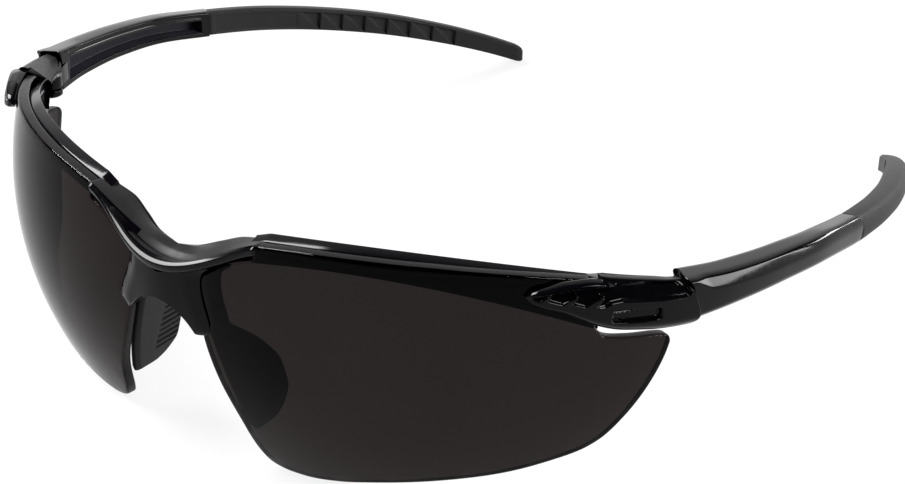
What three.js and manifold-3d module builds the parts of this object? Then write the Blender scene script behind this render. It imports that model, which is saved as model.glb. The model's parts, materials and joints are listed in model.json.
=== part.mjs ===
import * as THREE from 'three';
import { mergeVertices } from 'three/addons/utils/BufferGeometryUtils.js';
import Module from 'manifold-3d';

const kit = await Module();
kit.setup();

// Safety glasses with two separate spherical lenses, open arms, resting on the lens bottoms and the arm tips.
// Millimetres. X is the wearer's left, Y runs back along the arms, Z is up from the table.
// While modelling, Y is zero at the hinges; the finished part is centred on the origin.

// ---- driving dimensions -------------------------------------------------------------------------
const LENS_RADIUS = 61.5;
const LENS_CENTRE = [10.66, 21.07, 27.5];
const LENS_THICK = 1.9;
const CLEAR = 0.3;
const BAR_DEPTH = 2.6;
const LEAF_START = 50.5;
const BODY_START = 62.9;
const BODY_END = 82;
const BRIDGE_HALF = 17.3;
const PIN_X = 68;
const PIN_Y = 0.8;
const PIN_RADIUS = 0.8;
const PIN_PLAY = 0.06;
const LUG_RADIUS = 2.0;
const TANG_LOW = 32.8;
const TANG_HIGH = 36.4;
const LUG_LOW = 31.2;
const LUG_HIGH = 39;
const HEAD_RADIUS = 1.5;
const GAP_INNER = { x: 68, depth: 3.1, mid: 36, curve: 0.09 };
const GAP_OUTER = { x: 74, depth: 3.3, mid: 32, curve: 0.07 };
const ARM_JOIN = 52.4;
const ARM_END = 131.6;
const CORE_END = 73;
const CHANNEL_FROM = 9;
const CHANNEL_TO = 49;
const CHANNEL_DEPTH = 2.9;
const TIP_POCKETS = 7;
const POCKET_FROM = 75.9;
const POCKET_PITCH = 5.63;
const PAD_THICK = 2;
const PAD_RIBS = 8;
const RIB_PITCH = 1.27;

// ---- helpers ------------------------------------------------------------------------------------
const vec = (x, y, z) => new THREE.Vector3(x, y, z);
const mix = (a, b, t) => a + (b - a) * t;

// Smooth function through [position, value] knots that never overshoots them.
function through(knots) {
  const x = knots.map((k) => k[0]);
  const y = knots.map((k) => k[1]);
  const last = x.length - 1;
  const h = [];
  const d = [];
  for (let i = 0; i < last; i += 1) {
    h.push(x[i + 1] - x[i]);
    d.push((y[i + 1] - y[i]) / h[i]);
  }
  const m = [d[0]];
  for (let i = 1; i < last; i += 1) {
    const p = 2 * h[i] + h[i - 1];
    const q = h[i] + 2 * h[i - 1];
    m.push(d[i - 1] * d[i] <= 0 ? 0 : (p + q) / (p / d[i - 1] + q / d[i]));
  }
  m.push(d[last - 1]);
  return (where) => {
    const at = Math.min(Math.max(where, x[0]), x[last]);
    let i = 0;
    while (i < last - 1 && at > x[i + 1]) i += 1;
    const t = (at - x[i]) / h[i];
    const s = 1 - t;
    const rise = s * s * (1 + 2 * t) * y[i] + t * t * (3 - 2 * t) * y[i + 1];
    return rise + h[i] * (t * s * s * m[i] - t * t * s * m[i + 1]);
  };
}

// Evenly spaced values from a to b, both included.
function steps(a, b, n) {
  return Array.from({ length: n + 1 }, (_, i) => mix(a, b, i / n));
}

// Closed solid through a list of rings with equal point counts, flat at both ends.
function loft(rings) {
  const n = rings[0].length;
  const points = rings.flat();
  const index = [];
  for (let r = 0; r < rings.length - 1; r += 1) {
    for (let i = 0; i < n; i += 1) {
      const a = r * n + i;
      const b = r * n + ((i + 1) % n);
      index.push(a, b, b + n, a, b + n, a + n);
    }
  }
  for (const end of [0, rings.length - 1]) {
    const normal = vec(0, 0, 0);
    const ring = rings[end];
    for (let i = 0; i < n; i += 1) {
      normal.add(vec(0, 0, 0).crossVectors(ring[i], ring[(i + 1) % n]));
    }
    normal.normalize();
    const side = Math.abs(normal.z) > 0.9 ? vec(1, 0, 0) : vec(0, 0, 1);
    const u = vec(0, 0, 0).crossVectors(side, normal).normalize();
    const v = vec(0, 0, 0).crossVectors(normal, u);
    const flat = ring.map((p) => new THREE.Vector2(p.dot(u), p.dot(v)));
    for (const [a, b, c] of THREE.ShapeUtils.triangulateShape(flat, [])) {
      const k = end * n;
      if (end === 0) index.push(k + a, k + c, k + b);
      else index.push(k + a, k + b, k + c);
    }
  }
  const geometry = new THREE.BufferGeometry().setFromPoints(points);
  geometry.setIndex(index);
  return solid(geometry);
}

// Boolean-ready solid from a closed geometry, turned so that it faces out.
function solid(geometry) {
  const bare = new THREE.BufferGeometry();
  bare.setAttribute('position', geometry.getAttribute('position'));
  if (geometry.index) bare.setIndex(geometry.index);
  const merged = mergeVertices(bare, 1e-4);
  const pos = merged.getAttribute('position');
  const at = (i) => vec(pos.getX(i), pos.getY(i), pos.getZ(i));
  const tris = [];
  let volume = 0;
  for (let i = 0; i < merged.index.count; i += 3) {
    const t = [0, 1, 2].map((k) => merged.index.getX(i + k));
    if (t[0] === t[1] || t[1] === t[2] || t[0] === t[2]) continue;
    tris.push(t);
    volume += at(t[0]).dot(vec(0, 0, 0).crossVectors(at(t[1]), at(t[2])));
  }
  const order = volume < 0 ? tris.map(([a, b, c]) => [a, c, b]) : tris;
  return new kit.Manifold(new kit.Mesh({
    numProp: 3,
    vertProperties: new Float32Array(pos.array),
    triVerts: new Uint32Array(order.flat()),
  }));
}

// Upright cylinder on the given axis.
function post(x, y, low, high, radius, facets = 20) {
  const g = new THREE.CylinderGeometry(radius, radius, high - low, facets);
  g.rotateX(Math.PI / 2);
  g.translate(x, y, (low + high) / 2);
  return solid(g);
}

// Upright box between two corners.
function block(a, b) {
  const g = new THREE.BoxGeometry(b[0] - a[0], b[1] - a[1], b[2] - a[2]);
  g.translate((a[0] + b[0]) / 2, (a[1] + b[1]) / 2, (a[2] + b[2]) / 2);
  return solid(g);
}

const join = (list) => kit.Manifold.union(list);

// ---- lens ---------------------------------------------------------------------------------------
// Point of the lens sphere: arc length a around it, height z, and offset off outwards from its front.
function onSphere(a, z, off) {
  const radius = LENS_RADIUS + off;
  const rise = z - LENS_CENTRE[2];
  const flat = Math.sqrt(radius * radius - rise * rise);
  const turn = a / LENS_RADIUS;
  return vec(LENS_CENTRE[0] + flat * Math.sin(turn), LENS_CENTRE[1] - flat * Math.cos(turn), z);
}

const LENS_FROM = -2.9;
const LENS_TO = 76.9;
const lensLow = through([
  [-2.9, 26.2], [-2.5, 24.3], [-1.5, 20.9], [0, 16.6], [1.4, 13.2], [2.7, 9.8], [3.7, 6.4], [4.7, 3.7],
  [6.3, 1.4], [8.3, 0.5], [10.5, 0.1], [13.6, 0], [20.2, 0.8], [27, 2.2], [38.4, 4.1], [50.4, 5.9],
  [57.3, 7.4], [62.6, 8.7], [66, 10.4], [69.7, 14.2], [73.6, 19.8], [76.2, 25], [76.9, 27],
]);
const lensHigh = through([
  [-2.9, 35.6], [-1, 37.2], [3, 39.8], [6.7, 41.1], [7.1, 43.5], [15, 44.3], [25.5, 44.6], [35, 44.4],
  [43, 43.8], [51, 42.9], [57, 42], [62.1, 41], [62.5, 32.9], [64.4, 31.2], [68.6, 30.1], [75, 28.9],
  [76.3, 28.4], [76.9, 27.4],
]);
const lensStations = [
  -2.9, -2.5, -1.5, 0, 1.4, 2.7, 3.7, 4.7, 6.3, 6.7, 7.1, 9, 13.6, 18, 23, 28, 33, 38, 43, 48, 53,
  57.5, 62.1, 62.5, 64.4, 67, 69.7, 72, 74, 75.5, 76.3, 76.9,
];

// Patch of shell between two outlines, front and back faces following the sphere.
function shellPatch(low, high, stations, rows, front, back) {
  return loft(stations.map((a) => {
    const up = steps(low(a), high(a), rows);
    const face = up.map((z) => onSphere(a, z, front));
    const rear = up.map((z) => onSphere(a, z, back)).reverse();
    return [...face, ...rear];
  }));
}

// The nose leg of the frame fills a slanted notch in the inner edge of the lens.
function notch(grow) {
  const outline = [
    [-6, 27.1 - grow], [-1.5 + grow, 27.1 - grow], [-1 + grow, 27.7], [-1.7 + grow, 29.8], [-2.6 + grow, 32],
    [-3.2 + grow, 34.3], [-6, 34.6],
  ];
  return loft([-LENS_THICK - 1, 0.6].map((off) => outline.map(([a, z]) => onSphere(a, z, off))));
}
const wholeLens = shellPatch(lensLow, lensHigh, lensStations, 7, 0, -LENS_THICK);
const lens = wholeLens.subtract(notch(0));

// Room for the lens with clearance all round.
const middle = (LENS_FROM + LENS_TO) / 2;
const stretch = 1 + (2 * CLEAR) / (LENS_TO - LENS_FROM);
const spread = lensStations.map((a) => middle + (a - middle) * stretch);
const shrink = (a) => middle + (a - middle) / stretch;
const wholeRoom = shellPatch(
  (a) => lensLow(shrink(a)) - CLEAR,
  (a) => lensHigh(shrink(a)) + CLEAR,
  spread, 5, CLEAR, -LENS_THICK - CLEAR,
);
const lensRoom = wholeRoom.subtract(notch(-CLEAR));

// ---- front frame --------------------------------------------------------------------------------
const barCrown = (a) => 45.05 - 0.0033 * (a - 24.5) ** 2;
const barBottom = (a) => 41 - 0.0057 * (a - 22.5) ** 2;
const barStart = (a) => 43.3 + 0.3 * (a - 4);

// Brow bar behind the top of the lens: a crest just behind the lens edge, sloping down to the rear.
const barFront = -LENS_THICK - CLEAR;
const bar = loft(steps(4, 64.5, 20).map((a) => {
  const f = barFront;
  const b = barFront - BAR_DEPTH;
  const t = Math.min(barCrown(a), barStart(a));
  const w = barBottom(a);
  return [
    onSphere(a, w + 0.5, f), onSphere(a, t - 0.75, f), onSphere(a, t, f - 0.7), onSphere(a, t - 0.7, b + 0.3),
    onSphere(a, t - 1, b), onSphere(a, w + 0.7, b), onSphere(a, w, b + 0.6), onSphere(a, w, f - 0.5),
  ];
}));

// Leaf over the outer top of the lens, widening into the solid endpiece past the lens edge.
const leafHigh = through([
  [50.5, 41.1], [51.7, 41.6], [54, 41.9], [57.6, 42], [61.2, 41.6], [66, 40.8], [72, 40.3], [82, 39.8],
]);
const leafShoulder = through([
  [50.5, 41.2], [52, 42.5], [54, 42.9], [57.5, 43], [60.4, 42.6], [66, 41.1], [72.4, 39.8], [78, 38.6], [82, 38.2],
]);
const leafLow = through([
  [50.5, 40.7], [51.1, 39.9], [52.6, 39.1], [55.8, 37.6], [62.2, 34.4], [65.2, 33.3], [68.6, 32.5],
  [72, 31.8], [76, 31.2], [82, 30.6],
]);
const leafOut = through([[50.5, 0.9], [51.2, 2], [53, 2.6], [56, 3], [63, 3.1], [70, 3.3], [77, 3.6], [82, 3.9]]);
const bodyIn = through([[BODY_START, -4.6], [67, -3.7], [72, -1.9], [77, -0.8], [82, -0.4]]);
const crownIn = through([[BODY_START, -1.6], [67, -1], [72, 0.3], [77, 0.9], [82, 1.1]]);

function leafRing(a, inner, crown) {
  const h = leafHigh(a);
  const g = leafShoulder(a);
  const l = leafLow(a);
  const o = leafOut(a);
  const s = Math.min(1, (h - l) / 4);
  return [
    onSphere(a, l, inner), onSphere(a, l, o - 1.3 * s), onSphere(a, mix(l, g, 0.12), o - 0.5 * s),
    onSphere(a, mix(l, g, 0.35), o), onSphere(a, mix(l, g, 0.7), o), onSphere(a, g - 0.6 * s, o - 0.1),
    onSphere(a, g, o - 0.5 * s), onSphere(a, h, crown + 0.01), onSphere(a, mix(l, h, crown > inner ? 0.75 : 0.9), inner),
  ];
}
const leafStations = [LEAF_START, 50.8, 51.2, 52, 53.2, 55, 57, 59, 61, BODY_START - 0.2];
const bodyStations = [BODY_START, 65, 67, 69, 71, 73, 75, 77, 79.5, BODY_END];
const leaf = loft([
  ...leafStations.map((a) => leafRing(a, CLEAR, CLEAR)),
  ...bodyStations.map((a) => leafRing(a, bodyIn(a), crownIn(a))),
]);

// Rear end of the endpiece: bulged face that the arm closes against, set further forward on its outer side.
const gapCurve = ({ depth, mid, curve }, z) => depth - curve * (z - mid) ** 2;
function gapAt(x, z) {
  return mix(gapCurve(GAP_INNER, z), gapCurve(GAP_OUTER, z), (x - GAP_INNER.x) / (GAP_OUTER.x - GAP_INNER.x));
}
function beyondGap(shift, sign) {
  const far = sign > 0 ? 40 : -40;
  return loft([62, 80].map((x) => [
    ...steps(26, 43, 12).map((z) => vec(x, gapAt(x, z) + shift, z)), vec(x, far, 43), vec(x, far, 26),
  ]));
}

// Shallow recess along the upper half of the leaf, its lower edge broken by three flame-shaped teeth.
const RECESS = 0.35;
const recessLow = [
  [51.4, 42], [52.4, 40.8], [53.6, 41.6], [53.8, 40.5], [55.8, 39.6], [56.6, 40.3], [57.8, 40.9], [58, 39.4],
  [59.3, 38.7], [60.4, 39.6], [61.9, 40.4], [62.1, 38.2], [65.2, 38.4], [69, 37.8], [73, 37.1], [79, 36.3], [83, 36],
];
const recess = loft(recessLow.map(([a, low]) => {
  const high = Math.max(leafShoulder(a) - 0.45, low + 0.05);
  const deep = leafOut(a) - RECESS;
  return [onSphere(a, low, deep), onSphere(a, high, deep), onSphere(a, high, 7), onSphere(a, low, 7)];
}));

// One long slot below it, in front of the hinge.
const slotEdge = [
  [63.6, 35.6], [64.2, 35.1], [68.5, 34.4], [71.6, 34.1], [72.3, 34.5], [72.4, 35.5], [71.9, 36], [70.3, 36.1],
  [66.8, 36.9], [63.8, 37.1],
];
const slot = loft([2.3, 6].map((off) => slotEdge.map(([a, z]) => onSphere(a, z, off))));
const marks = [recess, slot];

// Hinge: two lugs on the inside of the endpiece with room for the arm's tang between them.
const lugs = [
  post(PIN_X, PIN_Y, LUG_LOW, LUG_HIGH, LUG_RADIUS),
  block([PIN_X, PIN_Y - LUG_RADIUS, LUG_LOW + 0.4], [PIN_X + 2, PIN_Y + LUG_RADIUS - 0.4, LUG_HIGH]),
];
const tangRoom = join([
  post(PIN_X, PIN_Y, TANG_LOW - CLEAR, TANG_HIGH + CLEAR, LUG_RADIUS + CLEAR),
  block([PIN_X - 6, PIN_Y, TANG_LOW - CLEAR], [PIN_X + LUG_RADIUS + CLEAR, PIN_Y + 12, TANG_HIGH + CLEAR]),
  block([PIN_X - 6, PIN_Y - LUG_RADIUS - CLEAR, TANG_LOW - CLEAR], [PIN_X, PIN_Y + 12, TANG_HIGH + CLEAR]),
]);
const pinRoom = join([
  post(PIN_X, PIN_Y, LUG_LOW - 2, LUG_HIGH - 0.7, PIN_RADIUS + PIN_PLAY),
  post(PIN_X, PIN_Y, LUG_LOW - 3, LUG_LOW + 0.7, HEAD_RADIUS + CLEAR),
]);

// Bridge saddle between the lenses: front rim, glossy scoop, rear band.
const rimY = (x) => -42.9 + 10.1 * (x / 20) ** 2 - 6.1 * (x / 20) ** 4;
const rimZ = (x) => 37.4 + 11.9 * (x / 20) ** 2 - 4.8 * (x / 20) ** 4;
const rearY = through([[0, -36.3], [4, -35.9], [8, -34.7], [12, -33.7], [BRIDGE_HALF, -33.9]]);
const rearZ = through([[0, 37.8], [4, 38.7], [8, 40.3], [12, 41.9], [BRIDGE_HALF, 43.3]]);
const scoopWide = (x) => 5.5 * Math.max(0, 1 - (x / 17.6) ** 2) ** 2;
const bridge = loft(steps(-BRIDGE_HALF, BRIDGE_HALF, 20).map((x) => {
  const fy = rimY(x);
  const fz = rimZ(x);
  const by = rearY(Math.abs(x));
  const bz = rearZ(Math.abs(x));
  const wide = scoopWide(x);
  const cy = fy + 0.5 + wide * 0.88;
  const cz = fz - 0.9 * (wide / 5.5) + 0.2;
  const dip = 0.9 * (wide / 5.5) ** 0.5;
  const deep = 2.6 + 0.8 * (1 - (x / BRIDGE_HALF) ** 2);
  return [
    vec(x, fy + 0.3, fz - 1.5), vec(x, fy, fz - 0.5), vec(x, fy + 0.3, fz),
    vec(x, mix(fy + 0.3, cy, 0.33), mix(fz, cz, 0.33) - dip), vec(x, mix(fy + 0.3, cy, 0.7), mix(fz, cz, 0.7) - dip),
    vec(x, cy, cz), vec(x, mix(cy, by, 0.55), mix(cz, bz, 0.75)), vec(x, by - 0.4, bz),
    vec(x, by, bz - 0.6), vec(x, by - 0.3, bz - deep), vec(x, mix(fy, by, 0.5), fz - deep),
  ];
}));

// Nose bracket: a leg each side that grips the inner edge of the lens front and back.
const legIn = through([
  [26.4, 7.1], [27, 6.2], [28.5, 4.5], [29.7, 2.1], [30.1, -0.4], [34.6, -0.4], [36, 3.5], [37.3, 6.8],
  [39.2, 9.5], [41.1, 12.6], [42.2, 14.6],
]);
const legOut = through([
  [26.4, 8], [27, 9.1], [27.6, 9.5], [28.5, 9.3], [29.7, 8.9], [31.8, 8.1], [34.3, 7.6], [35.8, 7.7],
  [37.3, 9.2], [39.2, 11.1], [41.1, 13.9], [42.2, 15.6],
]);
const legHeights = [26.4, 27, 27.6, 28.5, 29.7, 30.1, 31.8, 33.2, 34.4, 36, 37.3, 39.2, 41.1, 42.2];
function legY(x, z, off) {
  const radius = LENS_RADIUS + off;
  const aside = Math.max(0, x - LENS_CENTRE[0]);
  const rise = z - LENS_CENTRE[2];
  return LENS_CENTRE[1] - Math.sqrt(radius * radius - rise * rise - aside * aside);
}
const leg = loft(legHeights.map((z) => {
  const xs = steps(legIn(z), legOut(z), 4);
  const front = xs.map((x, i) => {
    const bulge = 0.9 * Math.max(0, 1 - (x / 8) ** 2) ** 2;
    return vec(x, legY(x, z, i === 4 ? 0.1 : 0.9) - bulge, z);
  });
  const rear = xs.map((x) => vec(x, legY(x, z, -LENS_THICK - CLEAR - 1.4), z)).reverse();
  return [...front, ...rear];
}));

// Flange on the outer side of the leg that backs the inner edge of the lens.
const flange = loft(legHeights.slice(2, 12).map((z) => {
  const x = legOut(z);
  const near = -LENS_THICK - CLEAR;
  const corners = [[x - 1.2, near], [x + 1.9, near], [x + 2.3, near - 0.5], [x + 1.9, near - 1], [x - 1.2, near - 1.2]];
  return corners.map(([p, off]) => vec(p, legY(p, z, off), z));
}));

const mirrored = (m) => m.mirror([1, 0, 0]);
function half() {
  const added = join([bar, leaf, leg, flange, ...lugs]);
  const cut = join([lensRoom, beyondGap(0, 1), tangRoom, pinRoom, ...marks]);
  return [added, cut];
}
const [added, cut] = half();
const frontFrame = join([added, mirrored(added), bridge]).subtract(join([cut, mirrored(cut)]));

// ---- arms ---------------------------------------------------------------------------------------
const armX = through([
  [-6, 67.2], [0, 69.1], [12, 72.7], [24, 74.8], [37, 75.8], [49, 75.4], [62, 74], [76, 71.1], [95, 64.9],
  [113, 57.5], [124, 52.1], [134, 46.6],
]);
const armZ = through([
  [-6, 35.8], [0, 35.4], [12, 34.3], [24, 33], [37, 31.1], [49, 28.6], [62, 25.9], [76, 22.5], [95, 17],
  [113, 10.3], [124, 5.4], [134, 0.2],
]);
const armHigh = through([
  [-6, 9.2], [0, 8.4], [12, 6.6], [24, 5.9], [37, 5.6], [49, 5.6], [76, 5.3], [95, 5.1], [113, 4.7], [134, 4],
]);
const armWide = through([
  [-6, 4.9], [0, 5], [12, 5.1], [24, 4.8], [37, 4.5], [49, 4.2], [76, 4.5], [95, 4.7], [113, 4.5], [134, 3.9],
]);
const armBevel = through([[-6, 0.4], [5, 0.4], [24, 0.5], [37, 0.9], [52, 1.2]]);

// Point of an arm: u outwards and w upwards from its centre line at depth y.
function onArm(y, u, w) {
  const slope = (armX(y + 0.5) - armX(y - 0.5));
  const n = Math.hypot(1, slope);
  return vec(armX(y) + u / n, y - (u * slope) / n, armZ(y) + w);
}

// Hard front part of the arm, with a bevelled top that widens towards the tip.
function hardRing(y) {
  const t = armWide(y) / 2;
  const h = armHigh(y) / 2;
  const c = armBevel(y);
  return [
    onArm(y, -t, -h + 0.4), onArm(y, -t + 0.5, -h), onArm(y, t - 1.2, -h), onArm(y, t - 0.2, -h + 1.1),
    onArm(y, t, h - c - 0.7), onArm(y, t - 0.4, h - c), onArm(y, -t + 0.9, h - 0.1), onArm(y, -t + 0.4, h),
    onArm(y, -t, h - 0.4),
  ];
}
const hard = loft([-5, 0, 4, 7, 10, 14, 19, 25, 31, 37, 43, 48, ARM_JOIN].map(hardRing));
const channel = loft(
  [CHANNEL_FROM, CHANNEL_FROM + 1.5, 15, 21, 27, 33, 39, 44, CHANNEL_TO].map((y, i) => {
    const t = armWide(y) / 2;
    const h = armHigh(y) / 2;
    const deep = Math.min(CHANNEL_DEPTH, 2 * t - 1.4) * (i === 0 ? 0.6 : 1);
    return [
      onArm(y, -t - 1, -h + 1), onArm(y, -t + deep, -h + 1.2), onArm(y, -t + deep, h - 1.6), onArm(y, -t - 1, h - 1.3),
    ];
  }),
);
const core = loft([ARM_JOIN - 2, 56, 60, 64, 68, CORE_END].map((y) => [
  onArm(y, -0.8, -1.2), onArm(y, 0.8, -1.2), onArm(y, 0.8, 1), onArm(y, -0.8, 1),
]));
const coreRoom = loft([ARM_JOIN - 2, 56, 60, 64, 68, CORE_END + CLEAR].map((y) => [
  onArm(y, -0.8 - CLEAR, -1.2 - CLEAR), onArm(y, 0.8 + CLEAR, -1.2 - CLEAR),
  onArm(y, 0.8 + CLEAR, 1 + CLEAR), onArm(y, -0.8 - CLEAR, 1 + CLEAR),
]));
const tang = join([
  post(PIN_X, PIN_Y, TANG_LOW, TANG_HIGH, LUG_RADIUS),
  loft([TANG_LOW, TANG_HIGH].map((z) => [
    vec(PIN_X - 1.9, PIN_Y, z), vec(PIN_X + 1.9, PIN_Y, z), vec(PIN_X + 1.9, 5.8, z), vec(71.9, 8, z),
    vec(71.9, 10, z), vec(69.9, 10, z), vec(PIN_X + 0.4, 5.5, z),
  ])),
]);
const lugRoom = post(PIN_X, PIN_Y, LUG_LOW - 2, LUG_HIGH + 2, LUG_RADIUS + CLEAR, 32);
const armBody = join([hard.subtract(join([channel, lugRoom, beyondGap(CLEAR, -1)])), core, tang])
  .subtract(post(PIN_X, PIN_Y, TANG_LOW - 1, TANG_HIGH + 1, PIN_RADIUS + PIN_PLAY));

// Soft sleeve over the rear of the arm, with pockets along its inner face.
function softRing(y, grow = 0, squeeze = 1) {
  const t = (armWide(y) / 2 + grow) * squeeze;
  const h = (armHigh(y) / 2 + grow) * squeeze;
  return [
    onArm(y, -t, -h * 0.55), onArm(y, -t * 0.7, -h * 0.9), onArm(y, 0, -h), onArm(y, t * 0.72, -h * 0.85),
    onArm(y, t, -h * 0.4), onArm(y, t, h * 0.15), onArm(y, t * 0.7, h * 0.72), onArm(y, t * 0.1, h * 0.98),
    onArm(y, -t * 0.6, h), onArm(y, -t, h * 0.7),
  ];
}
const sleeve = loft([
  ...[ARM_JOIN + CLEAR, 58, 64, 70, 76, 82, 88, 94, 100, 106, 112, 118, 124, 128.5].map((y) => softRing(y, 0.05)),
  softRing(ARM_END - 1.2, 0, 0.95), softRing(ARM_END - 0.4, 0, 0.8), softRing(ARM_END, 0, 0.55),
]);
const pockets = [coreRoom];
for (let i = 0; i < TIP_POCKETS; i += 1) {
  const y = POCKET_FROM + POCKET_PITCH * i;
  const tri = [[y, 1.75], [y + 5.2, 1.75], [y + 4.9, -2]];
  pockets.push(loft([-3.6, -armWide(y) / 2 + 0.6].map((u) => tri.map(([p, w]) => onArm(p, u, w)))));
}
const armTip = sleeve.subtract(join(pockets));

// ---- hinge screw --------------------------------------------------------------------------------
const screw = join([
  post(PIN_X, PIN_Y, LUG_LOW + 0.2, LUG_HIGH - 1, PIN_RADIUS),
  post(PIN_X, PIN_Y, LUG_LOW - 0.3, LUG_LOW + 0.4, HEAD_RADIUS),
]).subtract(block([PIN_X - 1.2, PIN_Y - 0.2, LUG_LOW - 1], [PIN_X + 1.2, PIN_Y + 0.2, LUG_LOW]));

// ---- nose pad -----------------------------------------------------------------------------------
const padFront = (z) => legY(0, z, -LENS_THICK - 0.6);
const padRear = through([
  [7.4, -33], [8, -29.8], [9.2, -27.4], [11.8, -25.6], [15.2, -25.8], [19.6, -28.4], [25.2, -34.3],
]);
const padX = (z) => 7.3 + (25.2 - z) * 0.31;
const padHeights = [7.4, 8, 9.2, 11.8, 15, 17.5, 20, 22.5, 25, 26];
const padBody = loft(padHeights.map((z) => {
  const f = padFront(z);
  const b = Math.max(padRear(z), f + 0.8);
  const x = padX(z);
  const soft = Math.min(0.6, (b - f) / 4);
  return [
    vec(x + 0.3, f, z), vec(x + PAD_THICK - 0.3, f, z), vec(x + PAD_THICK, f + soft, z),
    vec(x + PAD_THICK * 0.85, b - soft, z), vec(x + PAD_THICK * 0.5, b, z), vec(x, b - soft, z), vec(x, f + soft, z),
  ];
}));
const ribs = [];
for (let i = 0; i < PAD_RIBS; i += 1) {
  const z = 11.2 + RIB_PITCH * i;
  for (const [from, to] of [[-1, 0.4], [PAD_THICK - 0.4, PAD_THICK + 1]]) {
    const line = [[-31.6, z - 0.25], [-31.6, z + 0.25], [-22, z + 0.25], [-22, z - 0.25]];
    ribs.push(loft([from, to].map((u) => line.map(([y, h]) => vec(padX(h) + u, y, h)))));
  }
}
const pad = padBody.subtract(join(ribs));

// ---- assembly -----------------------------------------------------------------------------------
const glasses = new THREE.Group();
glasses.name = 'safety_glasses';
const finish = {
  gloss: { color: 0x121016, roughness: 0.16, metalness: 0 },
  smoke: { color: 0x3a3230, roughness: 0.05, metalness: 0 },
  soft: { color: 0x2a292b, roughness: 0.75, metalness: 0 },
  steel: { color: 0x8c8c90, roughness: 0.3, metalness: 1 },
};

function place(name, body, look, flip = false) {
  const shape = (flip ? mirrored(body) : body).getMesh();
  const geometry = new THREE.BufferGeometry();
  geometry.setAttribute('position', new THREE.BufferAttribute(new Float32Array(shape.vertProperties), 3));
  geometry.setIndex(Array.from(shape.triVerts));
  const mesh = new THREE.Mesh(geometry, new THREE.MeshStandardMaterial(finish[look]));
  mesh.name = name;
  glasses.add(mesh);
}

place('front_frame', frontFrame, 'gloss');
for (const [side, flip] of [['left', false], ['right', true]]) {
  place(`lens_${side}`, lens, 'smoke', flip);
  place(`nose_pad_${side}`, pad, 'soft', flip);
  place(`arm_${side}`, armBody, 'gloss', flip);
  place(`arm_tip_${side}`, armTip, 'soft', flip);
  place(`hinge_screw_${side}`, screw, 'steel', flip);
}

// Centre the finished part over the origin, standing on the table.
const box = new THREE.Box3().setFromObject(glasses);
for (const mesh of glasses.children) {
  mesh.geometry.translate(0, -(box.min.y + box.max.y) / 2, -box.min.z);
}

export default glasses;
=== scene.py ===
"""Safety glasses: smoked lenses, gloss black frame, folding arms with soft tips, on a pale studio floor."""
import json
import math

import bmesh
import bpy
from mathutils import Matrix, Vector

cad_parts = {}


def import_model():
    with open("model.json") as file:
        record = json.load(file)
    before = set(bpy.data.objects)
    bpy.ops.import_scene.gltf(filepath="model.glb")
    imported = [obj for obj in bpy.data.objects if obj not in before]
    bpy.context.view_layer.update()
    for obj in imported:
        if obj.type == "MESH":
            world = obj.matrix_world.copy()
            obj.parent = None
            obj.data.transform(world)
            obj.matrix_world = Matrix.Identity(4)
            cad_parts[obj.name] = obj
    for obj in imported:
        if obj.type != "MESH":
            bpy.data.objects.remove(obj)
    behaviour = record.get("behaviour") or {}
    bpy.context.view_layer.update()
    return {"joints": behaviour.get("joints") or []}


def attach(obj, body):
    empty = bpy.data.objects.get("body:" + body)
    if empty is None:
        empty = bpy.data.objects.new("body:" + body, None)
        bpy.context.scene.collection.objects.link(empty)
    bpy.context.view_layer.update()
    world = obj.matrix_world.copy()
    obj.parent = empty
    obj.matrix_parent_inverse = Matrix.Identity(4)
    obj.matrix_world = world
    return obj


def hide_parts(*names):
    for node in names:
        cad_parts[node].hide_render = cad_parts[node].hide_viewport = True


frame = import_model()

# ---- sizes, in millimetres -------------------------------------------------------------------------
# Drawing frame: X to the wearer's left, Y back with zero at the hinges, Z up from the floor.
MM = 0.001
HINGE_PIN = (68.0, 0.8)
LENS_RADIUS = 61.5
LENS_CENTRE = (10.66, 21.07, 27.5)
LENS_THICK = 1.9
FIT = 0.2
LENS_FROM, LENS_TO = -2.9, 76.9
LEAF_START, BODY_START, BODY_END = 51.1, 62.9, 79.0
ARM_GAP = 0.3
BRIDGE_HALF = 17.3
ARM_JOIN, ARM_END = 52.4, 131.6
LUG_RADIUS, PIN_RADIUS, HEAD_RADIUS = 2.0, 0.8, 1.5
LUG_LOW, LUG_HIGH = 31.2, 37.7
TANG_LOW, TANG_HIGH = 32.8, 36.4
LUG_PLAY = 0.3                   # between the arm's tongue and the lugs above and below it

pin_y = frame["joints"][0]["pos_m"][1] / MM
BACK = HINGE_PIN[1] - pin_y      # from the drawing frame back to the part's own origin


def world(x, y, z):
    """Drawing-frame millimetres as a point of the scene, in metres."""
    return Vector((x, y - BACK, z)) * MM


# ---- small mathematics -----------------------------------------------------------------------------
def mix(a, b, t):
    return a + (b - a) * t


def ease(t):
    t = min(1.0, max(0.0, t))
    return t * t * (3 - 2 * t)


def steps(a, b, n):
    """n equal steps from a to b, both ends included."""
    return [mix(a, b, i / n) for i in range(n + 1)]


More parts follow.
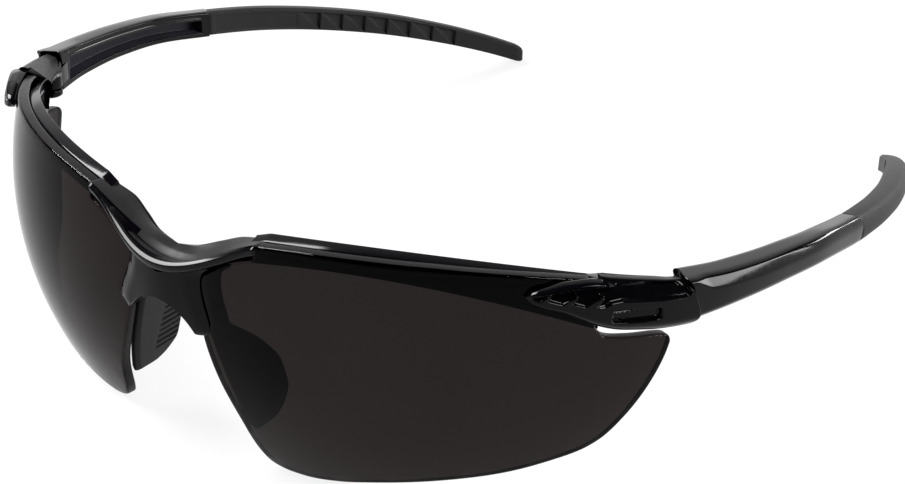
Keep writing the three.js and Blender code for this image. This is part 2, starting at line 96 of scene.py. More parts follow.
def through(*knots):
    """Smooth function through (position, value) knots that never overshoots them."""
    xs = [k[0] for k in knots]
    ys = [k[1] for k in knots]
    last = len(xs) - 1
    h = [xs[i + 1] - xs[i] for i in range(last)]
    d = [(ys[i + 1] - ys[i]) / h[i] for i in range(last)]
    m = [d[0]]
    for i in range(1, last):
        p, q = 2 * h[i] + h[i - 1], h[i] + 2 * h[i - 1]
        m.append(0 if d[i - 1] * d[i] <= 0 else (p + q) / (p / d[i - 1] + q / d[i]))
    m.append(d[-1])

    def value(x):
        x = min(max(x, xs[0]), xs[-1])
        i = 0
        while i < last - 1 and x > xs[i + 1]:
            i += 1
        t = (x - xs[i]) / h[i]
        s = 1 - t
        rise = s * s * (1 + 2 * t) * ys[i] + t * t * (3 - 2 * t) * ys[i + 1]
        return rise + h[i] * (t * s * s * m[i] - t * t * s * m[i + 1])

    return value


def quarter(edge):
    """Quarter round of radius edge, as (inset, rise) steps from the flat face to the side."""
    return [(edge * (1 - math.sin(t)), edge * (1 - math.cos(t))) for t in steps(0, math.pi / 2, 4)]


def rounded(corners, arc=4):
    """Closed outline of (u, v, radius) corners: each radius becomes a short curve of arc + 1 points."""
    out = []
    n = len(corners)
    for i, (u, v, r) in enumerate(corners):
        p = Vector((u, v))
        if r == 0:
            out.append((u, v))
            continue
        to_last = Vector(corners[i - 1][:2]) - p
        to_next = Vector(corners[(i + 1) % n][:2]) - p
        s = p + to_last * min(0.48, r / max(to_last.length, 1e-6))
        e = p + to_next * min(0.48, r / max(to_next.length, 1e-6))
        for k in range(arc + 1):
            t = k / arc
            q = s * (1 - t) ** 2 + p * 2 * t * (1 - t) + e * t * t
            out.append((q.x, q.y))
    return out


def inside(outline, u, v):
    """Distance from (u, v) to a closed outline, positive inside it."""
    hit = False
    near = 1e9
    for (x0, y0), (x1, y1) in zip(outline, outline[1:] + outline[:1]):
        if (y0 > v) != (y1 > v) and u < (x1 - x0) * (v - y0) / (y1 - y0) + x0:
            hit = not hit
        dx, dy = x1 - x0, y1 - y0
        t = min(1, max(0, ((u - x0) * dx + (v - y0) * dy) / (dx * dx + dy * dy)))
        near = min(near, math.hypot(u - x0 - t * dx, v - y0 - t * dy))
    return near if hit else -near


# ---- materials -------------------------------------------------------------------------------------
NOISE_LOW, NOISE_HIGH = 0.3, 0.7      # the part of a noise's range that a material spreads over its own


def new_material(name):
    material = bpy.data.materials.new(name)
    material.use_nodes = True
    return material, material.node_tree.nodes, material.node_tree.links


def grain(nodes, links, scale, detail=4):
    """Noise in object space, sized in waves per metre."""
    place = nodes.new("ShaderNodeTexCoord")
    noise = nodes.new("ShaderNodeTexNoise")
    noise.inputs["Scale"].default_value = scale
    noise.inputs["Detail"].default_value = detail
    links.new(place.outputs["Object"], noise.inputs["Vector"])
    return noise


def spread(nodes, links, source, low, high):
    """A noise turned into values from low to high."""
    ramp = nodes.new("ShaderNodeMapRange")
    ramp.inputs["From Min"].default_value = NOISE_LOW
    ramp.inputs["From Max"].default_value = NOISE_HIGH
    ramp.inputs["To Min"].default_value = low
    ramp.inputs["To Max"].default_value = high
    links.new(source, ramp.inputs["Value"])
    return ramp.outputs["Result"]


def tint(nodes, links, source, dark, light):
    """A noise turned into shades from dark to light."""
    ramp = nodes.new("ShaderNodeValToRGB")
    ramp.color_ramp.elements[0].position = NOISE_LOW
    ramp.color_ramp.elements[1].position = NOISE_HIGH
    ramp.color_ramp.elements[0].color = (*dark, 1)
    ramp.color_ramp.elements[1].color = (*light, 1)
    links.new(source, ramp.inputs["Fac"])
    return ramp.outputs["Color"]


def bump(nodes, links, source, shader, height):
    node = nodes.new("ShaderNodeBump")
    node.inputs["Strength"].default_value = 1
    node.inputs["Distance"].default_value = height
    links.new(source, node.inputs["Height"])
    links.new(node.outputs["Normal"], shader.inputs["Normal"])


def plastic(name, dark, light, rough, gloss, coarse=90, fine=900, height=0.0):
    """Moulded plastic: faint flow marks in colour, uneven roughness, and a fine relief if it has a height."""
    material, nodes, links = new_material(name)
    shader = nodes["Principled BSDF"]
    flow = grain(nodes, links, coarse)
    skin = grain(nodes, links, fine, 6)
    links.new(tint(nodes, links, flow.outputs["Fac"], dark, light), shader.inputs["Base Color"])
    links.new(spread(nodes, links, skin.outputs["Fac"], *rough), shader.inputs["Roughness"])
    shader.inputs["Specular IOR Level"].default_value = gloss
    if height:
        bump(nodes, links, skin.outputs["Fac"], shader, height)
    return material


def smoke():
    """Tinted polycarbonate: clear and glossy, stained a dark warm grey."""
    material, nodes, links = new_material("smoked_lens")
    shader = nodes["Principled BSDF"]
    flow = grain(nodes, links, 25)
    stain = tint(nodes, links, flow.outputs["Fac"], (0.0160, 0.0127, 0.0122), (0.0190, 0.0150, 0.0145))
    links.new(stain, shader.inputs["Base Color"])
    links.new(spread(nodes, links, flow.outputs["Fac"], 0.01, 0.02), shader.inputs["Roughness"])
    shader.inputs["Transmission Weight"].default_value = 1
    shader.inputs["Specular IOR Level"].default_value = 0.15
    shader.inputs["IOR"].default_value = 1.13
    return material


def steel():
    """Turned steel with a fine brushed grain."""
    material, nodes, links = new_material("screw_steel")
    shader = nodes["Principled BSDF"]
    marks = grain(nodes, links, 2500, 3)
    metal = tint(nodes, links, marks.outputs["Fac"], (0.35, 0.35, 0.36), (0.55, 0.55, 0.56))
    links.new(metal, shader.inputs["Base Color"])
    links.new(spread(nodes, links, marks.outputs["Fac"], 0.25, 0.4), shader.inputs["Roughness"])
    shader.inputs["Metallic"].default_value = 1
    return material


# Each plastic: dark and light shade, range of roughness, gloss, then waves per metre of its two noises.
LENS_GRAIN = (60, 1500)
SOFT_GRAIN = (120, 3200, 0.00001)     # the third is the height of the relief, in metres
GLOSS = plastic("gloss_black", (0.0008, 0.0006, 0.0010), (0.0012, 0.0009, 0.0014), (0.08, 0.12), 0.12)
# Satin black: a rougher finish, and a lighter colour that paints the sheen where the up-facing bands of the
# bridge and endpiece catch the overhead light.
SATIN_PAINTED_SHEEN = plastic("satin_black_painted_sheen", (0.006, 0.0055, 0.0058), (0.0075, 0.0069, 0.0072), (0.38, 0.46), 0.08)
# Channel colour: a lighter, bluish grey than the gloss black, which paints the reflection seen along the
# arm's inner channel.
CHANNEL_PAINTED_REFLECTION = plastic("channel_painted_reflection", (0.012, 0.012, 0.016), (0.015, 0.015, 0.020), (0.38, 0.46), 0.1)
EDGE = plastic(
    "lens_edge", (0.0030, 0.0027, 0.0027), (0.0042, 0.0038, 0.0038), (0.25, 0.35), 0.05, *LENS_GRAIN)
RUBBER = plastic(
    "soft_rubber", (0.0085, 0.0080, 0.0080), (0.0115, 0.0108, 0.0108), (0.46, 0.56), 0.1, *SOFT_GRAIN)
PAD = plastic(
    "pad_rubber", (0.0060, 0.0055, 0.0056), (0.0080, 0.0075, 0.0076), (0.42, 0.52), 0.1, *SOFT_GRAIN)
SMOKE = smoke()
STEEL = steel()


# ---- making pieces ---------------------------------------------------------------------------------
WELD = 2e-6                           # metres within which two points are one
SHARP, ENDPIECE_SHARP = 38, 62        # degrees between faces beyond which an edge shows as sharp


def make(name, solid, side, look, body, nodes, sharp=SHARP, rim=None):
    """Adds one piece from drawing-frame points, mirrored if side is -1; rim is the second material of its
    marked faces.
    """
    points, faces, *edge_faces = solid
    mesh = bpy.data.meshes.new(name)
    mesh.from_pydata([world(side * x, y, z) for x, y, z in points], [], faces)
    mesh.materials.append(look)
    if rim:
        mesh.materials.append(rim)
        mesh.polygons.foreach_set("material_index", edge_faces[0])
    bm = bmesh.new()
    bm.from_mesh(mesh)
    bmesh.ops.remove_doubles(bm, verts=bm.verts, dist=WELD)
    bmesh.ops.recalc_face_normals(bm, faces=bm.faces)
    bm.to_mesh(mesh)
    bm.free()
    mesh.polygons.foreach_set("use_smooth", [True] * len(mesh.polygons))
    mesh.set_sharp_from_angle(angle=math.radians(sharp))
    piece = bpy.data.objects.new(name, mesh)
    bpy.context.scene.collection.objects.link(piece)
    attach(piece, body)
    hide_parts(*nodes)
    return piece


def banded(solid, n, first, last):
    """A loft of n-point rings, its faces from first(ring) up to last marked for a second material."""
    points, faces = solid
    marks = [int(len(f) == 4 and first(f[0] // n) <= f[0] % n < last) for f in faces]
    return points, faces, marks


def loft(rings):
    """Points and faces of a closed solid through rings of equal length."""
    n = len(rings[0])
    points = [p for ring in rings for p in ring]
    faces = []
    for r in range(len(rings) - 1):
        for i in range(n):
            a, b = r * n + i, r * n + (i + 1) % n
            faces.append((a, b, b + n, a + n))
    faces.append(tuple(range(n))[::-1])
    faces.append(tuple(range((len(rings) - 1) * n, len(rings) * n)))
    return points, faces


def both(*solids):
    """Several closed solids as one piece, with the marks of those that have a second material."""
    points, faces, marks = [], [], []
    for more_points, more_faces, *more_marks in solids:
        base = len(points)
        points += more_points
        faces += [tuple(i + base for i in f) for f in more_faces]
        marks += more_marks[0] if more_marks else [0] * len(more_faces)
    return points, faces, marks


def turned(x, y, profile, facets=40):
    """Upright solid of revolution from (radius, height) points, capped at both ends."""
    rings = []
    for radius, z in profile:
        ring = []
        for i in range(facets):
            turn = 2 * math.pi * i / facets
            ring.append((x + radius * math.cos(turn), y + radius * math.sin(turn), z))
        rings.append(ring)
    return loft(rings)


def drum(x, y, low, high, radius, edge=0.25):
    """Upright cylinder with rounded rims."""
    low_rim = [(radius - inset, low + rise) for inset, rise in quarter(edge)]
    high_rim = [(r, low + high - z) for r, z in reversed(low_rim)]
    return turned(x, y, low_rim + high_rim)


def inward(outline):
    """Unit normals of a closed outline that point into it."""
    normals = []
    for a, b in zip(outline[-1:] + outline[:-1], outline[1:] + outline[:1]):
        dx, dy = b[0] - a[0], b[1] - a[1]
        size = math.hypot(dx, dy)
        normals.append((-dy / size, dx / size))
    area = sum(a[0] * b[1] - b[0] * a[1] for a, b in zip(outline, outline[1:] + outline[:1]))
    turn = 1 if area > 0 else -1
    return [(turn * u, turn * v) for u, v in normals]


def flat_sheet(outline, thick, edge):
    """Closed flat sheet with rounded rims, as a bmesh."""
    normals = inward(outline)
    rims = quarter(edge)
    rims += [(inset, thick - depth) for inset, depth in reversed(rims)]
    bm = bmesh.new()
    rows = []
    for inset, depth in rims:
        rows.append([
            bm.verts.new((p[0] + q[0] * inset, p[1] + q[1] * inset, depth))
            for p, q in zip(outline, normals)
        ])
    n = len(outline)
    for row, below in zip(rows, rows[1:]):
        for i in range(n):
            j = (i + 1) % n
            bm.faces.new((row[i], row[j], below[j], below[i]))
    bm.faces.new(rows[0])
    bm.faces.new(rows[-1])
    return bm


def cut_across(bm, axis, lowest, highest, cell):
    """Cuts every face along planes one cell apart, square to X when axis is 0 and to Y when it is 1."""
    at = lowest + cell / 2
    while at < highest:
        centre = (0, at, 0) if axis else (at, 0, 0)
        square = (0, 1, 0) if axis else (1, 0, 0)
        everything = bm.verts[:] + bm.edges[:] + bm.faces[:]
        bmesh.ops.bisect_plane(bm, geom=everything, dist=1e-5, plane_co=centre, plane_no=square)
        at += cell


def plate(outline, place, thick, edge, cell):
    """Sheet with rounded rims: an outline in (u, v), laid on a surface by place(u, v, depth)."""
    bm = flat_sheet(outline, thick, edge)
    for axis in (0, 1):
        along = [p[axis] for p in outline]
        cut_across(bm, axis, min(along), max(along), cell)
    bm.verts.ensure_lookup_table()
    bm.verts.index_update()
    bm.normal_update()
    points = [place(*v.co) for v in bm.verts]
    faces = [tuple(v.index for v in f.verts) for f in bm.faces]
    on_edge = [int(abs(f.normal.z) < 0.5) for f in bm.faces]
    bm.free()
    return points, faces, on_edge


def smooth_outline(points, spacing, passes):
    """Even spacing along a closed outline, then its corners eased."""
    closed = points + points[:1]
    lengths = [math.dist(a, b) for a, b in zip(closed, closed[1:])]
    total = sum(lengths)
    count = int(total / spacing)
    out = []
    i, gone = 0, 0.0
    for k in range(count):
        at = total * k / count
        while gone + lengths[i] < at:
            gone += lengths[i]
            i += 1
        t = (at - gone) / lengths[i]
        out.append((mix(closed[i][0], closed[i + 1][0], t), mix(closed[i][1], closed[i + 1][1], t)))
    for _ in range(passes):
        out = [
            ((a[0] + 2 * b[0] + c[0]) / 4, (a[1] + 2 * b[1] + c[1]) / 4)
            for a, b, c in zip(out[-1:] + out[:-1], out, out[1:] + out[:1])
        ]
    return out


# ---- lenses ----------------------------------------------------------------------------------------
def on_sphere(a, z, off):
    """Point at arc length a and height z, off outside the front of the lens."""
    radius = LENS_RADIUS + off
    flat = math.sqrt(radius * radius - (z - LENS_CENTRE[2]) ** 2)
    turn = a / LENS_RADIUS
    return (LENS_CENTRE[0] + flat * math.sin(turn), LENS_CENTRE[1] - flat * math.cos(turn), z)


# Outline of a lens, as heights over arc lengths from the bridge: bottom, top, step in the tail, inner top.
lens_low = through(
    (-2.9, 26.2), (-2.5, 24.3), (-1.5, 20.9), (0, 16.6), (1.4, 13.2), (2.7, 9.8), (3.7, 6.4), (4.7, 3.7),
    (6.3, 1.4), (8.3, 0.5), (10.5, 0.1), (13.6, 0), (20.2, 0.8), (27, 2.2), (38.4, 4.1), (50.4, 5.9),
    (57.3, 7.4), (62.6, 8.7), (66, 10.4), (69.7, 14.2), (73.6, 19.8), (76.2, 25), (76.9, 27))
lens_top = through(
    (7.1, 43.5), (15, 44.3), (25.5, 44.6), (35, 44.4), (43, 43.8), (51, 42.9), (57, 42), (62.1, 41))
lens_step = through((62.5, 32.9), (64.4, 31.2), (68.6, 30.1), (75, 28.9), (76.3, 28.4), (76.9, 27.4))
lens_nose = through((-3.1, 35.6), (-1, 37.2), (3, 39.8), (6.7, 41.1))
# Notch in the inner edge, where the nose bracket grips.
NOTCH = [(-3.15, 34.2), (-2.5, 32), (-1.6, 29.8), (-0.9, 27.6), (-1.4, 26.9), (-2.9, 26.9)]


OUTLINE_SPACING = 0.3
LENS_ROUND, LENS_CELL = 0.4, 2.0      # radius of the rims and size of the mesh cells


def lens_outline():
    along = steps(LENS_FROM, 8, 60) + steps(8.5, 60, 60) + steps(60.5, LENS_TO, 50)
    points = [(a, lens_low(a)) for a in along]
    points += [(a, lens_step(a)) for a in steps(LENS_TO, 62.5, 40)]
    points += [(a, lens_top(a)) for a in steps(62.1, 7.1, 60)]
    points += [(a, lens_nose(a)) for a in steps(6.7, -3.1, 20)]
    return smooth_outline(points + NOTCH, OUTLINE_SPACING, 3)


def lens(side, word):
    def place(a, z, depth):
        return on_sphere(a, z, -depth)

    solid = plate(lens_outline(), place, LENS_THICK, LENS_ROUND, LENS_CELL)
    make(f"tinted_lens_{word}", solid, side, SMOKE, "frame", [f"lens_{word}"], rim=EDGE)


# ---- brow bar --------------------------------------------------------------------------------------
BAR_FROM, BAR_TO = 4.7, 64
BAR_DEPTH_NOSE, BAR_DEPTH_HINGE = 2.9, 2.1


def bar_crown(a):
    """Height of the bar's upper edge, which runs down toward the bridge at its inner end."""
    return min(45.05 - 0.0033 * (a - 24.5) ** 2, 43.0 + 0.32 * (a - 4))


def bar_bottom(a):
    """Height of the bar's lower edge."""
    return 41 - 0.0057 * (a - 22.5) ** 2


def brow_bar():
    """Bar behind the top of a lens: its top face leans forward and a steep slope falls off behind it."""
    front = -LENS_THICK - FIT
    rings = []
    for a in steps(BAR_FROM, BAR_TO, 120):
        t, w = bar_crown(a), bar_bottom(a)
        rear = -LENS_THICK - mix(BAR_DEPTH_NOSE, BAR_DEPTH_HINGE, ease((a - 25) / 25))
        corners = [
            (front, w + 0.5, 0.3), (front, t - 0.6, 0.22), (front - 1.6, t, 0.12),
            (rear + 0.15, t - 1.6, 0.3), (rear, t - 2.0, 0.3), (rear, w + 0.7, 0.3),
            (rear + 0.6, w, 0.3), (front - 0.5, w, 0.3)]
        rings.append([on_sphere(a, z, off) for off, z in rounded(corners)])
    return loft(rings)


# ---- leaf and endpiece -----------------------------------------------------------------------------
# Curves over the arc length a: heights of the leaf's edges, and how far its faces stand off the lens.
leaf_high = through(
    (51.1, 40.1), (52, 40.5), (54, 40.9), (57.6, 41.4), (61.2, 41.5), (66, 40.8), (72, 40.3), (82, 39.8))
leaf_shoulder = through(
    (51.1, 40.2), (52, 41.0), (54, 41.6), (57.5, 42.15), (60.4, 42.2), (66, 41.1), (72.4, 39.8), (78, 38.6),
    (82, 38.2))
leaf_low = through(
    (51.1, 39.8), (51.6, 39.3), (52.6, 38.8), (55.8, 37.6), (62.2, 34.4), (65.2, 33.3), (68.6, 32.5),
    (72, 31.8), (76, 31.2), (82, 30.6))
leaf_out = through(
    (51.1, 0.9), (51.7, 1.5), (53.5, 2.2), (58, 2.8), (63, 3.2), (70, 3.3), (77, 3.6), (82, 3.9))
body_in = through((BODY_START, -4.6), (67, -3.7), (72, -1.9), (77, -0.8), (82, -0.4))
roof_in = through((BODY_START, -4.7), (67, -4.2), (72, -3.6), (77, -3.0), (82, -2.8))
roof_top = through((BODY_START, 42.1), (66, 41.5), (70, 40.65), (74, 39.7), (78, 38.6), (82, 38.0))
ROOF_OFF, ROOF_SLOPE, ROOF_THICK = 0.5, 0.48, 1.1

# Recess along the upper half of the leaf and endpiece: its lower edge has three flame-shaped teeth.
RECESS_DEPTH, RECESS_TILT, SLOT_DEPTH = 0.3, 0.36, 1.0
recess_foot = through((51, 40), (56, 39), (63, 38), (80, 36))
RECESS = [
    (51.9, 40.4), (51.9, 40.1), (52.3, 39.9), (53.0, 39.8), (53.7, 40.4), (54.4, 40.8), (54.5, 40.5),
    (54.0, 39.9), (54.5, 39.7), (55.8, 39.3), (56.2, 39.2), (57.1, 39.8), (58.4, 40.2), (58.5, 39.9),
    (57.7, 39.2), (58.4, 38.9), (59.3, 38.6), (59.6, 38.5), (60.8, 39.2), (62.1, 39.7), (62.6, 39.5),
    (62.2, 38.9), (61.4, 38.3), (61.8, 38.1), (62.7, 38.1), (63.8, 38.5), (65.5, 38.5), (68.5, 37.9),
    (72.1, 37.2), (75.8, 36.6), (77.2, 36.5), (77.6, 37.2), (77.3, 38.0), (75, 38.8), (72.2, 39.4),
    (68.6, 40.1), (65.3, 40.8), (62.8, 41.1), (60.4, 41.2), (58.8, 41.25), (56.5, 41.05), (54.4, 40.85),
    (52.8, 40.5)]
# Slot under the recess, and the ramp that rises out of it at the front.
SLOT = [
    (63.6, 35.6), (64.1, 35.2), (68.5, 34.5), (71.5, 34.1), (72.2, 34.3), (72.4, 35.5), (72.0, 36.0),
    (70.6, 36.2), (66.8, 36.8), (63.8, 37.1)]
SLOT_RAMP = [(63.6, 35.4), (67.2, 36.9), (63.8, 37.2)]


def relief(a, z):
    """How deep the outer face of the leaf is sunk at (a, z)."""
    fall = RECESS_DEPTH + RECESS_TILT * max(0, z - recess_foot(a))
    depth = fall * ease((inside(RECESS, a, z) + 0.12) / 0.34)
    depth += SLOT_DEPTH * ease((inside(SLOT, a, z) + 0.1) / 0.45)
    depth -= 0.6 * SLOT_DEPTH * ease((inside(SLOT_RAMP, a, z) + 0.1) / 0.35)
    return depth


def gap(x, z):
    """Depth of the joint between endpiece and arm: a bulge, further forward on the outer side."""
    inner = 3.1 - 0.09 * (z - 36) ** 2
    outer = 3.3 - 0.07 * (z - 32) ** 2
    return mix(inner, outer, (x - 68) / 6)


def arm_front(x, z):
    """Depth at which the arm starts: behind the joint, and clear of the hinge lugs."""
    aside = x - HINGE_PIN[0]
    room = LUG_RADIUS + ARM_GAP
    lug = HINGE_PIN[1] + math.sqrt(room * room - aside * aside) if abs(aside) < room else -9
    return max(gap(x, z) + ARM_GAP, lug)


def meet(place, low, high, wall):
    """Parameter between low and high at which place() reaches the depth wall(x, z)."""
    for _ in range(24):
        middle = (low + high) / 2
        x, y, z = place(middle)
        if y < wall(x, z):
            low = middle
        else:
            high = middle
    return low


OUTER_FACE = 0.9                      # points further out than this belong to the outer face


def leaf_ring(a, inner, roof=None):
    """Outline of (off, z) points at a, finely divided outside; roof is the off of a roof's inner edge."""
    high, shoulder, low, out = leaf_high(a), leaf_shoulder(a), leaf_low(a), leaf_out(a)
    size = min(1, (high - low) / 4)
    edge = shoulder - 0.45 * size
    corners = [(inner, low, 0.2), (mix(inner, out - 1.3 * size, 0.8), low, 0.2)]
    for t in steps(0, 1, 64):
        under = 1.1 * size * max(0, 1 - t / 0.24) ** 2.2
        lean = 0.25 * size * max(0, (t - 0.82) / 0.18) ** 1.5
        corners.append((out - under - lean, mix(low + 0.15 * size, edge, t), 0))
    if roof is None:
        corners += [
            (out - 1.2 * size, edge + 0.2 * size, 0), (out - 1.75 * size, edge + 0.35 * size, 0.3),
            (inner + 0.3, high + 0.15 * size, 0.3), (inner, high, 0.3), (inner, mix(low, high, 0.9), 0.2),
            (inner, mix(low, high, 0.5), 0.2)]
        return rounded(corners)
    inner_top = roof_top(a) - ROOF_SLOPE * (ROOF_OFF - roof)
    corners += [
        (out - 1.2 * size, edge + 0.25 * size, 0), (out - 1.75 * size, edge + 0.8 * size, 0.35),
        (ROOF_OFF, roof_top(a), 0.7), (roof, inner_top, 0.5), (roof + 0.15, inner_top - ROOF_THICK, 0.2),
        (inner, inner_top - ROOF_THICK - 0.3, 0.3)]
    return rounded(corners)


def body_start(off):
    """The endpiece's front edge slants where it covers the end of the brow bar."""
    return BODY_START + (0.35 * (off + 2.9) if off < 0 else 0)


def body_end(x, z):
    """Depth at which the endpiece ends: the joint, drawn in around the hinge pin on the inner side."""
    aside = min(0, x - HINGE_PIN[0])
    round_pin = HINGE_PIN[1] + math.sqrt(max(0.05, 4.4 - aside * aside))
    return min(gap(x, z), round_pin) if aside < 0 else gap(x, z)


def shrunk(ring, share):
    """A flat outline drawn in toward its middle."""
    u = sum(p[0] for p in ring) / len(ring)
    v = sum(p[1] for p in ring) / len(ring)
    return [(mix(u, p[0], share), mix(v, p[1], share)) for p in ring]


def sunk(a, z, off):
    """Point on the leaf, sunk by the relief if it lies on the outer face."""
    return on_sphere(a, z, off - relief(a, z) * (off > OUTER_FACE))


END_FROM, END_TO = 60, 92             # arc lengths between which the endpiece meets the arm
# The roof's faces take the satin finish with its painted sheen.
ROOF_FIRST, ROOF_LAST = 80, 89        # numbers of the roof's faces round a ring


def endpiece():
    """Leaf in front of the lens that widens into the endpiece, as one closed solid."""
    tip = leaf_ring(LEAF_START, FIT)
    rings = []
    for share in (0.1, 0.5, 0.8):
        a = LEAF_START - 0.25 * (1 - share)
        rings.append([on_sphere(a, z, off) for off, z in shrunk(tip, share)])
    for a in steps(LEAF_START, BODY_START - 0.05, 118):
        rings.append([sunk(a, z, off) for off, z in leaf_ring(a, FIT)])
    body_ring = len(rings)
    last = []
    for s in steps(BODY_START, BODY_END, 120)[:-1]:
        last = leaf_ring(s, body_in(s), roof_in(s))
        share = (s - BODY_START) / (BODY_END - BODY_START)
        ring = []
        for off, z in last:
            end = meet(lambda at: on_sphere(at, z, off), END_FROM, END_TO, body_end)
            ring.append(sunk(mix(body_start(off), end, share), z, off))
        rings.append(ring)
    for shrink, back in ((0.998, 0.12), (0.985, 0.03), (0.96, 0), (0.8, 0), (0.5, 0), (0.2, 0)):
        ring = []
        for off, z in shrunk(last, shrink):
            end = meet(lambda at: on_sphere(at, z, off), END_FROM, END_TO, lambda x, h: body_end(x, h) - back)
            ring.append(on_sphere(end, z, off))
        rings.append(ring)
    n = len(tip)
    return banded(loft(rings), n, lambda ring: ROOF_FIRST if ring >= body_ring else n, ROOF_LAST)


# ---- bridge and nose bracket -----------------------------------------------------------------------
def rim_y(x):
    """Depth of the bridge's front rim."""
    return -42.9 + 10.1 * (x / 20) ** 2 - 6.1 * (x / 20) ** 4


def rim_z(x):
    """Height of the bridge's front rim."""
    return 37.4 + 11.9 * (x / 20) ** 2 - 4.8 * (x / 20) ** 4


rear_y = through((0, -36.3), (4, -35.9), (8, -34.7), (12, -33.7), (BRIDGE_HALF, -33.9))
rear_z = through((0, 37.8), (4, 38.7), (8, 40.3), (12, 41.9), (BRIDGE_HALF, 43.3))


SCOOP_WIDE, SCOOP_DIP = 5.5, 0.9
# Numbers of faces round a bridge ring that take the satin finish with its painted sheen: from inside the
# scoop or from its crest, down to the rear edge.
SCOOP_FACE, CREST_FACE, REAR_FACE = 27, 33, 42
CREST_RINGS = 45                      # the rings before this one start at the crest


def bridge_ring(x):
    """Section of the bridge at x: front rim, scoop, crest, rear slope and underside."""
    fy, fz, by, bz = rim_y(x), rim_z(x), rear_y(abs(x)), rear_z(abs(x))
    wide = SCOOP_WIDE * max(0, 1 - (x / 17.6) ** 2) ** 2
    cy = fy + 0.5 + wide * 0.88
    cz = fz - 0.9 * wide / SCOOP_WIDE + 0.2
    dip = SCOOP_DIP * math.sqrt(wide / SCOOP_WIDE)
    deep = 2.6 + 0.8 * (1 - (x / BRIDGE_HALF) ** 2)
    rim = fy + 0.75
    corners = [
        (fy + 0.25, fz - 1.7, 0.4), (fy, fz - 0.55, 0.25), (rim, fz - 0.02, 0.22),
        (mix(rim, cy, 0.3), mix(fz, cz, 0.3) - dip, 0.7), (mix(rim, cy, 0.7), mix(fz, cz, 0.7) - dip, 0.8),
        (cy, cz, 0.3), (mix(cy, by, 0.55), mix(cz, bz, 0.75), 0.8), (by - 0.4, bz, 0.4),
        (by, bz - 0.6, 0.3), (by - 0.3, bz - deep, 0.4), (mix(fy, by, 0.5), fz - deep, 0.6)]
    return [(x, y, z) for y, z in rounded(corners, 5)]


def bridge():
    """The saddle between the two brow bars, its ends domed inside them."""
    rings = [bridge_ring(x) for x in steps(-BRIDGE_HALF, BRIDGE_HALF, 140)]
    centre = []
    for ring in (rings[0], rings[-1]):
        centre.append((sum(p[1] for p in ring) / len(ring), sum(p[2] for p in ring) / len(ring)))
    for index, (cy, cz), way in ((0, centre[0], -1), (-1, centre[1], 1)):
        ends = []
        for shrink, out in ((0.93, 0.3), (0.75, 0.5), (0.4, 0.6)):
            ends.append([
                (x + way * out, mix(cy, y, shrink), mix(cz, z, shrink)) for x, y, z in rings[index]])
        rings = ends[::-1] + rings if way < 0 else rings + ends
    return banded(
        loft(rings), len(rings[0]), lambda ring: CREST_FACE if ring < CREST_RINGS else SCOOP_FACE, REAR_FACE)


# Half widths over the height: inner and outer edge of a leg, and the throat above the arch.
LEG_LOW = 25.2
leg_in = through((LEG_LOW, 7.4), (26.2, 6.6), (28.2, 4.6), (29.6, 2.1), (30.1, 0))
throat = through((34.8, 0), (36, 3.2), (37.3, 6.4), (39.2, 9.3), (41, 12.4))
leg_out = through(
    (LEG_LOW, 8.3), (25.8, 9.3), (26.6, 9.7), (28.5, 9.3), (29.7, 8.9), (31.8, 8.1), (34.3, 7.6),
    (35.8, 7.7), (37.3, 9.2), (39.2, 11.1), (41.1, 13.9))
BRACKET_DEPTH, BRACKET_ROUND, BRACKET_CELL = 1.0, 0.16, 0.9     # the depth is a share, see place()


def leg_y(x, z, off):
    """Depth of the surface off outside the lenses, carried straight across the nose."""
    radius = LENS_RADIUS + off
    aside = max(0, abs(x) - LENS_CENTRE[0])
    return LENS_CENTRE[1] - math.sqrt(radius * radius - (z - LENS_CENTRE[2]) ** 2 - aside * aside)


def bracket():
    """The arch that carries the nose pads and grips the inner edges of the lenses."""
    half = [(leg_in(z), z) for z in steps(30.1, LEG_LOW, 28)]
    half += [(leg_out(z), z) for z in steps(LEG_LOW, 41, 64)]
    half += [(throat(z), z) for z in steps(41, 34.8, 30)]
    outline = smooth_outline(half + [(-x, z) for x, z in reversed(half[1:-1])], OUTLINE_SPACING, 4)

    def place(x, z, depth):
        """Depth 0 is the front and 1 the rear, behind the lenses."""
        reach = leg_out(max(LEG_LOW, z)) - abs(x)
        lift = 0.85 * ease(reach / 2.2) + 0.05
        bulge = 0.9 * max(0, 1 - (x / 8) ** 2) ** 2
        front = leg_y(x, z, lift) - bulge
        rear = leg_y(x, z, -LENS_THICK - FIT - 1.5)
        return (x, mix(front, rear, depth), z)

    return plate(outline, place, BRACKET_DEPTH, BRACKET_ROUND, BRACKET_CELL)


def flanges():
    """Lips behind the inner edges of the lenses."""
    near = -LENS_THICK - FIT
    far = near - 1.2
    solids = []
    for way in (1, -1):
        rings = []
        for z in steps(27.4, 40.5, 50):
            x = leg_out(z)
            corners = [
                (x - 1.4, near, 0.2), (x + 1.8, near, 0.3), (x + 2.3, near - 0.6, 0.4), (x + 1.8, far, 0.4),
                (x - 1.4, far, 0.2)]
            rings.append([(way * p, leg_y(p, z, off), z) for p, off in rounded(corners)])
        solids.append(loft(rings))
    return both(*solids)


# ---- hinges ----------------------------------------------------------------------------------------
def rib(outline, low, high):
    """Upright prism with softened corners."""
    flat = rounded([(x, y, 0.35) for x, y in outline])
    return loft([[(x, y, z) for x, y in flat] for z in (low, high)])


def lugs():
    """The two ears of the endpiece that hold the pin, each with a web on its outer side."""
    x, y = HINGE_PIN
    solids = []
    for low, high in ((LUG_LOW, TANG_LOW - LUG_PLAY), (TANG_HIGH + LUG_PLAY, LUG_HIGH)):
        solids.append(drum(x, y, low, high, LUG_RADIUS))
        outline = [(x, y - 1.9), (x + 2, y - 1.6), (x + 2, y + 1.6), (x, y + 1.9)]
        solids.append(rib(outline, low + 0.1, high - 0.1))
    return both(*solids)


